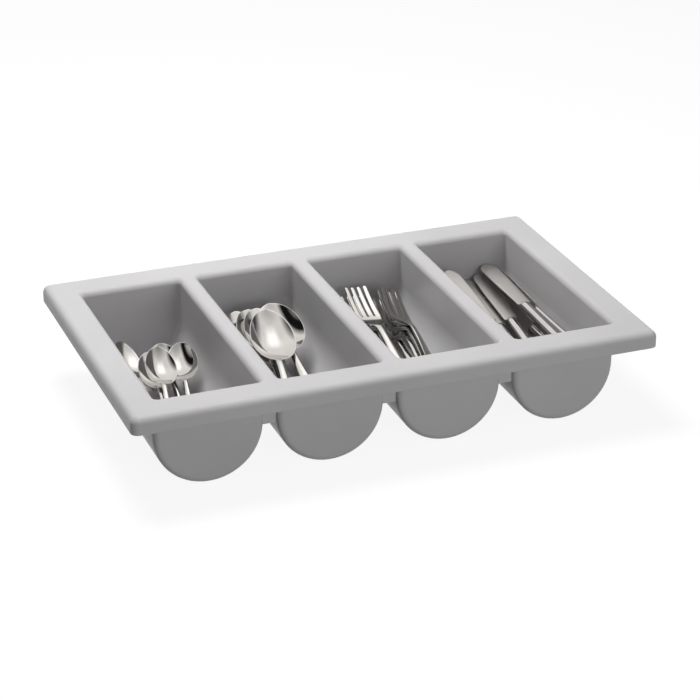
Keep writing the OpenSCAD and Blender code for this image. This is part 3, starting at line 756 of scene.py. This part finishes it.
lamps = {
    "keyLight": {"place": (-0.2, 0.3, 1.3), "aim": (0, 0, 0), "size": 0.7, "power": 16.3},
    "frontFill": {"place": (0.4, -2.6, 0.5), "aim": (0, 0, 0.05), "size": 1.5, "power": 26},
    "rearFill": {"place": (-0.4, 2.6, 0.5), "aim": (0, 0, 0.05), "size": 1.5, "power": 9},
}


def areaLamp(name, s):
    data = bpy.data.lights.new(name, "AREA")
    data.shape = "DISK"
    data.size = s["size"]
    data.energy = s["power"]
    lamp = bpy.data.objects.new(name, data)
    bpy.context.scene.collection.objects.link(lamp)
    lamp.location = s["place"]
    lamp.rotation_mode = "QUATERNION"
    lamp.rotation_quaternion = (Vector(s["aim"]) - Vector(s["place"])).to_track_quat("-Z", "Y")
    lamp.visible_glossy = False  # the steel mirrors the dome instead


# across runs along x and along runs along y, each from -1 to 1
# a span is where it starts, where it ends and how soft its ends are
domeLook = {
    "radius": 4, "turns": 49, "rises": 19, "lowest": 0.5,  # lowest ring in degrees
    "tint": (1, 0.99, 0.975),
    "grade": (  # place from front to back, and level there
        (-0.95, 0.7), (-0.72, 0.5), (-0.5, 0.12), (-0.3, 0.45), (-0.02, 1.05), (0.5, 1.2), (1, 1.0),
    ),
    "bright": (-0.46, 0.78, 0.09), "dark": 0.01,  # span across that shows the grade, level outside it
    "middle": (-0.76, 0.92, 0.06), "sides": 0.65,  # span across between the pale sides, and their level
    "boxAcross": (0.0, 0.5, 0.12), "boxAlong": (0.08, 0.5, 0.12), "boxGlow": 0.9,  # softbox overhead
}


def span(tree, value, low, high, soft):  # 1 between low and high, with soft ends
    rise = rangeNode(tree, value, 0, 1, low - soft, low + soft)
    fall = rangeNode(tree, value, 1, 0, high - soft, high + soft)
    return combine(tree, "MULTIPLY", rise, fall)


def gradeLevel(tree, value, grade):
    ramp = tree.nodes.new("ShaderNodeValToRGB")
    stops = ramp.color_ramp.elements
    while len(stops) < len(grade):
        stops.new(0.5)
    for stop, (at, level) in zip(stops, grade):
        stop.position = (at + 1) / 2
        stop.color = (level, level, level, 1)
    tree.links.new(rangeNode(tree, value, 0, 1, -1, 1), ramp.inputs["Fac"])
    return ramp.outputs["Color"]


def domeGlow(s):
    material, tree, surface = emptyMaterial("graded_dome")
    place = tree.nodes.new("ShaderNodeTexCoord")
    split = tree.nodes.new("ShaderNodeSeparateXYZ")
    tree.links.new(place.outputs["Object"], split.inputs[0])
    across, along = split.outputs["X"], split.outputs["Y"]
    bright = rangeNode(tree, span(tree, across, *s["bright"]), s["dark"], 1, 0, 1)
    sides = rangeNode(tree, span(tree, across, *s["middle"]), s["sides"], 0, 0, 1)
    graded = combine(tree, "MULTIPLY", gradeLevel(tree, along, s["grade"]), bright)
    box = combine(tree, "MULTIPLY", span(tree, across, *s["boxAcross"]), span(tree, along, *s["boxAlong"]))
    boxGlow = rangeNode(tree, box, 0, s["boxGlow"], 0, 1)
    glow = tree.nodes.new("ShaderNodeEmission")
    glow.inputs["Color"].default_value = (*s["tint"], 1)
    level = combine(tree, "ADD", combine(tree, "MAXIMUM", graded, sides), boxGlow)
    tree.links.new(level, glow.inputs["Strength"])
    tree.links.new(glow.outputs[0], surface)
    return material


def mirrorDome(s):  # seen only in mirror reflections
    turns = np.radians(np.linspace(0, 360, s["turns"]))
    rises = np.radians(np.linspace(s["lowest"], 90, s["rises"]))
    points = [(math.cos(r) * math.sin(t), math.cos(r) * math.cos(t), math.sin(r))
              for r in rises for t in turns]
    row = len(turns)
    faces = [(i * row + j, i * row + j + 1, (i + 1) * row + j + 1, (i + 1) * row + j)
             for i in range(len(rises) - 1) for j in range(row - 1)]
    mesh = bpy.data.meshes.new("mirror_dome")
    mesh.from_pydata(points, [], faces)
    mesh.materials.append(domeGlow(s))
    dome = bpy.data.objects.new("mirror_dome", mesh)
    bpy.context.scene.collection.objects.link(dome)
    dome.scale = (s["radius"],) * 3
    dome.visible_camera = False
    dome.visible_diffuse = False
    dome.visible_shadow = False


paleFloor(floorLook)
softWorld(worldLight)
for lampName, lampSettings in lamps.items():
    areaLamp(lampName, lampSettings)
mirrorDome(domeLook)
bpy.context.scene.view_settings.view_transform = "Standard"
print("floor and light set")
